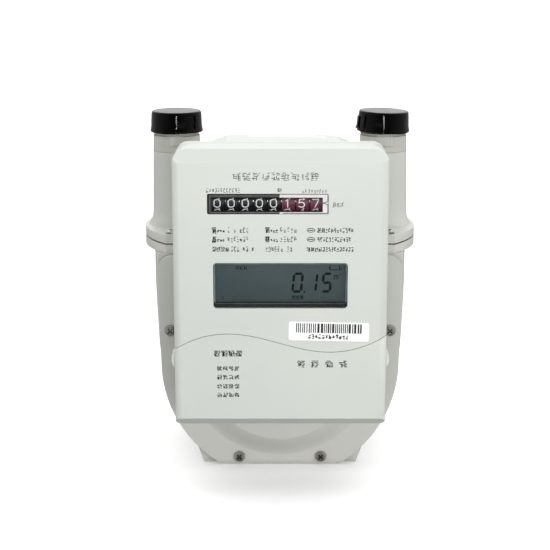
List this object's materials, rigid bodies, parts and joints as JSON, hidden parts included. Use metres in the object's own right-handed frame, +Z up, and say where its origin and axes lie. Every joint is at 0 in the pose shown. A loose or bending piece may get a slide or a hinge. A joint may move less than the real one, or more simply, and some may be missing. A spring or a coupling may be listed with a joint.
{
  "type": "gas meter",
  "caption": "Diaphragm gas meter: cast two-part case with top nozzles and dust caps, domed chamber covers, and a front index box with counter, display, flip cover and side button.",
  "frame": {"origin": "centre of the flat base, in the plane of the two nozzles, midway between them", "axes": "+Z up along the nozzles, +X towards the outlet nozzle on the right seen from the front, -Y towards the front with the index box"},
  "size_m": [0.1708, 0.1562, 0.2179],
  "materials": {
    "cast_case": "light warm grey satin enamel over an aluminium die casting",
    "white_plastic": "fine-grained off-white moulding",
    "grey_plastic": "fine-grained grey moulding",
    "caps": "glossy soft black vinyl",
    "screws": "nickel-plated",
    "plated_steel": "zinc-plated",
    "brass": "machined",
    "gasket": "nitrile rubber",
    "diaphragm": "coated textile rubber",
    "inner_plastic": "acetal",
    "bakelite": "phenolic",
    "black_plastic": "black moulding",
    "clear_window": "clear polycarbonate",
    "lcd_glass": "reflective liquid crystal glass",
    "wheel_black": "black with white numerals",
    "wheel_red": "dark red with white numerals",
    "circuit_board": "solder mask",
    "battery_cells": "printed sleeve",
    "sticker": "white paper label, printed bars"
  },
  "bodies": {
    "meter": {"meter_body": "cast_case", "case_gasket": "gasket", "upper_case": "cast_case", "flange_screws": "screws", "inlet_nozzle": "cast_case", "outlet_nozzle": "cast_case", "front_diaphragm_cover": "cast_case", "rear_diaphragm_cover": "cast_case", "cover_gaskets": "gasket", "cover_screws": "screws", "diaphragm_frames": "plated_steel", "front_diaphragm": "diaphragm", "rear_diaphragm": "diaphragm", "clamp_rings": "plated_steel", "rod_bushings": "brass", "valve_table": "black_plastic", "crank_bracket": "plated_steel", "outlet_duct": "black_plastic", "shutoff_valve": "black_plastic", "shaft_bushing": "brass", "box_back": "white_plastic", "box_gasket": "gasket", "box_front": "white_plastic", "box_screws": "screws", "hinge_pins": "plated_steel", "lcd_lens": "clear_window", "lcd_module": "lcd_glass", "counter_lens": "clear_window", "counter_frame": "black_plastic", "wheel_shaft": "plated_steel", "pinion_shaft": "plated_steel", "circuit_board": "circuit_board", "battery_tray": "black_plastic", "battery_cells": "battery_cells", "battery_contacts": "plated_steel", "card_reader": "black_plastic", "button_spring": "plated_steel", "barcode_sticker": "sticker"},
    "inlet_cap": {"inlet_cap": "caps"},
    "outlet_cap": {"outlet_cap": "caps"},
    "front_pan": {"front_diaphragm_pan": "inner_plastic"},
    "rear_pan": {"rear_diaphragm_pan": "inner_plastic"},
    "front_flag": {"front_flag": "brass"},
    "rear_flag": {"rear_flag": "brass"},
    "left_valve": {"left_valve_cover": "bakelite"},
    "right_valve": {"right_valve_cover": "bakelite"},
    "crank": {"crank": "inner_plastic"},
    "index_shaft": {"index_shaft": "inner_plastic"},
    "idler_shaft": {"idler_shaft": "inner_plastic"},
    "flip_cover": {"flip_cover": "white_plastic"},
    "transfer_pinions": {"transfer_pinions": "inner_plastic"},
    "side_button": {"side_button": "grey_plastic"},
    "number_wheel_1": {"number_wheel_1": "wheel_black"},
    "number_wheel_2": {"number_wheel_2": "wheel_black"},
    "number_wheel_3": {"number_wheel_3": "wheel_black"},
    "number_wheel_4": {"number_wheel_4": "wheel_black"},
    "number_wheel_5": {"number_wheel_5": "wheel_black"},
    "number_wheel_6": {"number_wheel_6": "wheel_red"},
    "number_wheel_7": {"number_wheel_7": "wheel_red"},
    "number_wheel_8": {"number_wheel_8": "wheel_red"}
  },
  "joints": [
    {"name": "inlet_cap_pull", "type": "slide", "parent": "meter", "child": "inlet_cap", "axis": [0, 0, 1], "range_m": [0, 0.08]},
    {"name": "outlet_cap_pull", "type": "slide", "parent": "meter", "child": "outlet_cap", "axis": [0, 0, 1], "range_m": [0, 0.08]},
    {"name": "flip_cover_hinge", "type": "hinge", "parent": "meter", "child": "flip_cover", "pos_m": [0, -0.0955, 0.0505], "axis": [1, 0, 0], "range_deg": [0, 100]},
    {"name": "side_button_press", "type": "slide", "parent": "meter", "child": "side_button", "axis": [-1, 0, 0], "range_m": [0, 0.0014], "stiffness_N_per_m": 600, "springref_m": -0.0006, "deforming": ["button_spring"]},
    {"name": "crank_turn", "type": "hinge", "parent": "meter", "child": "crank", "pos_m": [0, 0, 0.16], "axis": [0, 0, 1], "continuous": true},
    {"name": "front_flag_swing", "type": "hinge", "parent": "meter", "child": "front_flag", "pos_m": [-0.046, -0.005, 0.1], "axis": [0, 0, 1], "range_deg": [-18, 18]},
    {"name": "rear_flag_swing", "type": "hinge", "parent": "meter", "child": "rear_flag", "pos_m": [0.046, 0.005, 0.1], "axis": [0, 0, 1], "range_deg": [-18, 18]},
    {"name": "front_pan_slide", "type": "slide", "parent": "meter", "child": "front_pan", "axis": [0, 1, 0], "range_m": [-0.014, 0.014], "deforming": ["front_diaphragm"]},
    {"name": "rear_pan_slide", "type": "slide", "parent": "meter", "child": "rear_pan", "axis": [0, 1, 0], "range_m": [-0.014, 0.014], "deforming": ["rear_diaphragm"]},
    {"name": "left_valve_slide", "type": "slide", "parent": "meter", "child": "left_valve", "axis": [1, 0, 0], "range_m": [-0.0035, 0.0035]},
    {"name": "right_valve_slide", "type": "slide", "parent": "meter", "child": "right_valve", "axis": [1, 0, 0], "range_m": [-0.0035, 0.0035]},
    {"name": "index_shaft_turn", "type": "hinge", "parent": "meter", "child": "index_shaft", "pos_m": [0.0134, -0.03, 0.17], "axis": [0, 1, 0], "continuous": true},
    {"name": "idler_shaft_turn", "type": "hinge", "parent": "meter", "child": "idler_shaft", "pos_m": [0.025, -0.074, 0.17], "axis": [1, 0, 0], "continuous": true},
    {"name": "transfer_pinions_turn", "type": "hinge", "parent": "meter", "child": "transfer_pinions", "pos_m": [0, -0.0768, 0.1809], "axis": [1, 0, 0], "continuous": true},
    {"name": "number_wheel_1_turn", "type": "hinge", "parent": "meter", "child": "number_wheel_1", "pos_m": [0, -0.088, 0.1763], "axis": [1, 0, 0], "continuous": true},
    {"name": "number_wheel_2_turn", "type": "hinge", "parent": "meter", "child": "number_wheel_2", "pos_m": [0, -0.088, 0.1763], "axis": [1, 0, 0], "continuous": true},
    {"name": "number_wheel_3_turn", "type": "hinge", "parent": "meter", "child": "number_wheel_3", "pos_m": [0, -0.088, 0.1763], "axis": [1, 0, 0], "continuous": true},
    {"name": "number_wheel_4_turn", "type": "hinge", "parent": "meter", "child": "number_wheel_4", "pos_m": [0, -0.088, 0.1763], "axis": [1, 0, 0], "continuous": true},
    {"name": "number_wheel_5_turn", "type": "hinge", "parent": "meter", "child": "number_wheel_5", "pos_m": [0, -0.088, 0.1763], "axis": [1, 0, 0], "continuous": true},
    {"name": "number_wheel_6_turn", "type": "hinge", "parent": "meter", "child": "number_wheel_6", "pos_m": [0, -0.088, 0.1763], "axis": [1, 0, 0], "continuous": true},
    {"name": "number_wheel_7_turn", "type": "hinge", "parent": "meter", "child": "number_wheel_7", "pos_m": [0, -0.088, 0.1763], "axis": [1, 0, 0], "continuous": true},
    {"name": "number_wheel_8_turn", "type": "hinge", "parent": "meter", "child": "number_wheel_8", "pos_m": [0, -0.088, 0.1763], "axis": [1, 0, 0], "continuous": true}
  ],
  "couplings": [
    {"joint": "index_shaft_turn", "follows": "crank_turn", "ratio": 0.12},
    {"joint": "idler_shaft_turn", "follows": "crank_turn", "ratio": -0.12},
    {"joint": "transfer_pinions_turn", "follows": "crank_turn", "ratio": -0.042},
    {"joint": "front_pan_slide", "follows": "front_flag_swing", "m_per_rad": 0.0433},
    {"joint": "rear_pan_slide", "follows": "rear_flag_swing", "m_per_rad": -0.0433},
    {"joint": "number_wheel_1_turn", "follows": "crank_turn", "ratio": 0.000000012},
    {"joint": "number_wheel_2_turn", "follows": "crank_turn", "ratio": 0.00000012},
    {"joint": "number_wheel_3_turn", "follows": "crank_turn", "ratio": 0.0000012},
    {"joint": "number_wheel_4_turn", "follows": "crank_turn", "ratio": 0.000012},
    {"joint": "number_wheel_5_turn", "follows": "crank_turn", "ratio": 0.00012},
    {"joint": "number_wheel_6_turn", "follows": "crank_turn", "ratio": 0.0012},
    {"joint": "number_wheel_7_turn", "follows": "crank_turn", "ratio": 0.012},
    {"joint": "number_wheel_8_turn", "follows": "crank_turn", "ratio": 0.12}
  ]
}
